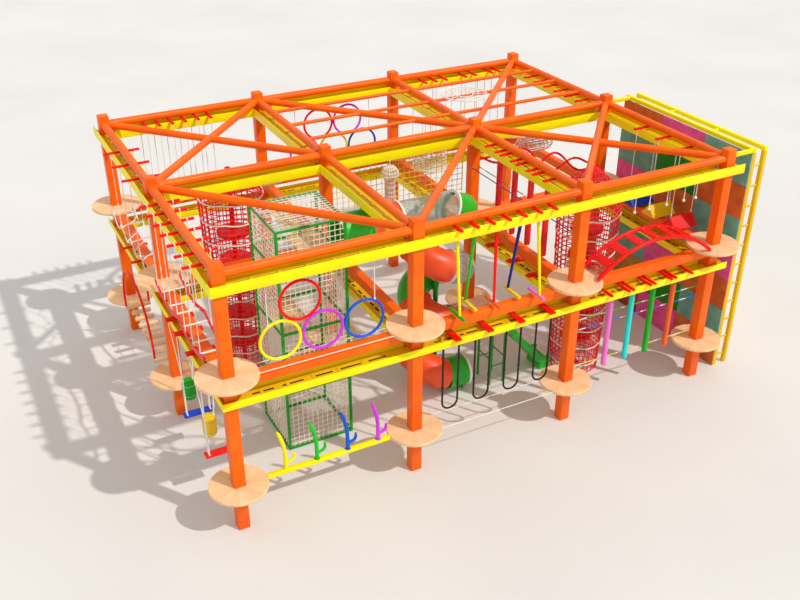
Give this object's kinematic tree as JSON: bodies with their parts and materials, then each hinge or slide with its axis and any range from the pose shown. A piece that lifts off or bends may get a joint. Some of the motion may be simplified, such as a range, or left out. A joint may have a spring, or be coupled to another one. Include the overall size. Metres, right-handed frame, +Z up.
{
  "type": "rope course",
  "caption": "Two-storey indoor rope course on a grid of square posts, with hanging elements, nets, slides and a climbing wall.",
  "frame": {"origin": "on the floor, at the centre of the part's bounding box", "axes": "+X along the long side towards the climbing wall, +Y from the front row to the rear row, +Z up"},
  "size_m": [13.85, 10.02, 6.09],
  "materials": {
    "orange_steel": "gloss orange paint",
    "yellow_steel": "gloss yellow paint",
    "red_steel": "gloss red paint",
    "green_steel": "gloss green paint",
    "magenta_steel": "gloss magenta paint",
    "blue_steel": "gloss blue paint",
    "pine_wood": "clear-varnished pine",
    "red_wood": "satin red paint",
    "yellow_wood": "satin yellow paint",
    "blue_wood": "satin blue paint",
    "green_wood": "satin green paint",
    "pink_wood": "satin pink paint",
    "cyan_wood": "satin cyan paint",
    "orange_wood": "satin orange paint",
    "rust_board": "matt rust-red textured paint",
    "navy_steel": "gloss navy paint",
    "leaf_steel": "gloss leaf-green paint",
    "cream_rope": "braided cream rope",
    "navy_rope": "banded navy rope",
    "red_rope": "braided red rope",
    "yellow_rope": "braided yellow rope",
    "dark_rope": "thick dark-brown rope",
    "green_plastic": "gloss green moulded plastic",
    "red_plastic": "satin red moulded plastic"
  },
  "bodies": {
    "course": {"arch_bridge": "red_steel", "balance_beam": "yellow_steel", "chute": "green_plastic", "crawl_tube": "green_plastic", "drum_pole_left": "red_plastic", "drum_pole_right": "red_plastic", "front_bracing": "orange_steel", "front_portal": "orange_steel", "hand_ropes": "navy_rope", "ladder_bridge": "red_wood", "log_ropes": "cream_rope", "lower_track": "yellow_steel", "middle_portal": "orange_steel", "net_basket": "cream_rope", "net_curtain": "yellow_rope", "net_tower_left": "red_rope", "net_tower_right": "red_rope", "plank_bridge": "pine_wood", "rear_bracing": "orange_steel", "rear_left_bridge": "pine_wood", "rear_portal": "orange_steel", "rear_right_bridge": "pine_wood", "tower_frame": "green_steel", "tower_net": "cream_rope", "tube_slide": "green_plastic", "upper_deck": "pine_wood", "upper_track": "yellow_steel", "wall_boards": "rust_board", "wall_frame": "yellow_steel", "wave_rails": "red_steel"},
    "front_hoops": {"hoop_yellow": "yellow_steel", "hoop_magenta": "magenta_steel", "hoop_blue": "blue_steel", "hoop_red": "red_steel"},
    "rear_hoops": {"rear_hoops": "magenta_steel"},
    "belay_lanyards": {"belay_lanyards": "cream_rope"},
    "prism_step_1": {"prism_step_1": "red_wood"},
    "prism_step_2": {"prism_step_2": "yellow_wood"},
    "prism_step_3": {"prism_step_3": "blue_wood"},
    "hanging_step_1": {"hanging_step_1": "red_wood"},
    "hanging_step_2": {"hanging_step_2": "yellow_wood"},
    "hanging_step_3": {"hanging_step_3": "blue_wood"},
    "hanging_step_4": {"hanging_step_4": "green_wood"},
    "hanging_log_1": {"hanging_log_1": "pink_wood"},
    "hanging_log_2": {"hanging_log_2": "cyan_wood"},
    "hanging_log_3": {"hanging_log_3": "green_wood"},
    "hanging_log_4": {"hanging_log_4": "orange_wood"},
    "swing_pole_1": {"swing_pole_1": "yellow_steel"},
    "swing_pole_2": {"swing_pole_2": "leaf_steel"},
    "swing_pole_3": {"swing_pole_3": "red_steel"},
    "swing_pole_4": {"swing_pole_4": "navy_steel"},
    "swing_pole_5": {"swing_pole_5": "yellow_steel"},
    "foot_loop_1": {"foot_loop_1": "dark_rope"},
    "foot_loop_2": {"foot_loop_2": "dark_rope"},
    "foot_loop_3": {"foot_loop_3": "dark_rope"},
    "foot_loop_4": {"foot_loop_4": "dark_rope"},
    "hanging_post_1": {"hanging_post_1": "red_wood"},
    "hanging_post_2": {"hanging_post_2": "red_wood"},
    "hanging_post_3": {"hanging_post_3": "red_wood"},
    "hanging_post_4": {"hanging_post_4": "red_wood"}
  },
  "joints": [
    {"name": "front_hoops_swing", "type": "hinge", "parent": "course", "child": "front_hoops", "pos_m": [-4.3347, -4.4, 5.5997], "axis": [1, 0, 0], "range_deg": [-20, 20]},
    {"name": "rear_hoops_swing", "type": "hinge", "parent": "course", "child": "rear_hoops", "pos_m": [-0.1847, 4.4, 5.5997], "axis": [1, 0, 0], "range_deg": [-20, 20]},
    {"name": "foot_loop_1_swing", "type": "hinge", "parent": "course", "child": "foot_loop_1", "pos_m": [-1.445, -4.4, 3.1247], "axis": [1, 0, 0], "range_deg": [-25, 25]},
    {"name": "foot_loop_2_swing", "type": "hinge", "parent": "course", "child": "foot_loop_2", "pos_m": [-0.655, -4.4, 3.1247], "axis": [1, 0, 0], "range_deg": [-25, 25]},
    {"name": "foot_loop_3_swing", "type": "hinge", "parent": "course", "child": "foot_loop_3", "pos_m": [0.135, -4.4, 3.1247], "axis": [1, 0, 0], "range_deg": [-25, 25]},
    {"name": "foot_loop_4_swing", "type": "hinge", "parent": "course", "child": "foot_loop_4", "pos_m": [0.925, -4.4, 3.1247], "axis": [1, 0, 0], "range_deg": [-25, 25]},
    {"name": "swing_pole_1_swing", "type": "hinge", "parent": "course", "child": "swing_pole_1", "pos_m": [-1.395, -4.4, 5.5997], "axis": [0, 1, 0], "range_deg": [-8, 8]},
    {"name": "swing_pole_2_swing", "type": "hinge", "parent": "course", "child": "swing_pole_2", "pos_m": [-0.965, -4.4, 5.5997], "axis": [0, 1, 0], "range_deg": [-8, 8]},
    {"name": "swing_pole_3_swing", "type": "hinge", "parent": "course", "child": "swing_pole_3", "pos_m": [-0.465, -4.4, 5.5997], "axis": [0, 1, 0], "range_deg": [-8, 8]},
    {"name": "swing_pole_4_swing", "type": "hinge", "parent": "course", "child": "swing_pole_4", "pos_m": [0.135, -4.4, 5.5997], "axis": [0, 1, 0], "range_deg": [-8, 8]},
    {"name": "swing_pole_5_swing", "type": "hinge", "parent": "course", "child": "swing_pole_5", "pos_m": [0.555, -4.4, 5.5997], "axis": [0, 1, 0], "range_deg": [-8, 8]},
    {"name": "hanging_log_1_swing", "type": "hinge", "parent": "course", "child": "hanging_log_1", "pos_m": [2.785, -4.4, 3.1247], "axis": [0, 1, 0], "range_deg": [-12, 12]},
    {"name": "hanging_log_2_swing", "type": "hinge", "parent": "course", "child": "hanging_log_2", "pos_m": [3.405, -4.4, 3.1247], "axis": [0, 1, 0], "range_deg": [-12, 12]},
    {"name": "hanging_log_3_swing", "type": "hinge", "parent": "course", "child": "hanging_log_3", "pos_m": [4.025, -4.4, 3.1247], "axis": [0, 1, 0], "range_deg": [-12, 12]},
    {"name": "hanging_log_4_swing", "type": "hinge", "parent": "course", "child": "hanging_log_4", "pos_m": [4.645, -4.4, 3.1247], "axis": [0, 1, 0], "range_deg": [-12, 12]},
    {"name": "hanging_post_1_swing", "type": "hinge", "parent": "course", "child": "hanging_post_1", "pos_m": [1.685, -3.15, 5.5997], "axis": [1, 0, 0], "range_deg": [-12, 12]},
    {"name": "hanging_post_2_swing", "type": "hinge", "parent": "course", "child": "hanging_post_2", "pos_m": [1.685, -2.5, 5.5997], "axis": [1, 0, 0], "range_deg": [-12, 12]},
    {"name": "hanging_post_3_swing", "type": "hinge", "parent": "course", "child": "hanging_post_3", "pos_m": [1.685, -1.85, 5.5997], "axis": [1, 0, 0], "range_deg": [-12, 12]},
    {"name": "hanging_post_4_swing", "type": "hinge", "parent": "course", "child": "hanging_post_4", "pos_m": [1.685, -1.2, 5.5997], "axis": [1, 0, 0], "range_deg": [-12, 12]},
    {"name": "hanging_step_1_swing", "type": "hinge", "parent": "course", "child": "hanging_step_1", "pos_m": [-6.315, -3.3, 3.2197], "axis": [1, 0, 0], "range_deg": [-10, 10]},
    {"name": "hanging_step_2_swing", "type": "hinge", "parent": "course", "child": "hanging_step_2", "pos_m": [-6.315, -2.6, 3.2197], "axis": [1, 0, 0], "range_deg": [-10, 10]},
    {"name": "hanging_step_3_swing", "type": "hinge", "parent": "course", "child": "hanging_step_3", "pos_m": [-6.315, -1.75, 3.2197], "axis": [1, 0, 0], "range_deg": [-10, 10]},
    {"name": "hanging_step_4_swing", "type": "hinge", "parent": "course", "child": "hanging_step_4", "pos_m": [-6.315, -1.1, 3.2197], "axis": [1, 0, 0], "range_deg": [-10, 10]},
    {"name": "prism_step_1_swing", "type": "hinge", "parent": "course", "child": "prism_step_1", "pos_m": [5.685, -3.25, 5.7197], "axis": [1, 0, 0], "range_deg": [-5, 5]},
    {"name": "prism_step_2_swing", "type": "hinge", "parent": "course", "child": "prism_step_2", "pos_m": [5.685, -2.47, 5.7197], "axis": [1, 0, 0], "range_deg": [-5, 5]},
    {"name": "prism_step_3_swing", "type": "hinge", "parent": "course", "child": "prism_step_3", "pos_m": [5.685, -1.68, 5.7197], "axis": [1, 0, 0], "range_deg": [-5, 5]},
    {"name": "belay_lanyards_run", "type": "slide", "parent": "course", "child": "belay_lanyards", "axis": [1, 0, 0], "range_m": [-0.3, 0.3]}
  ]
}
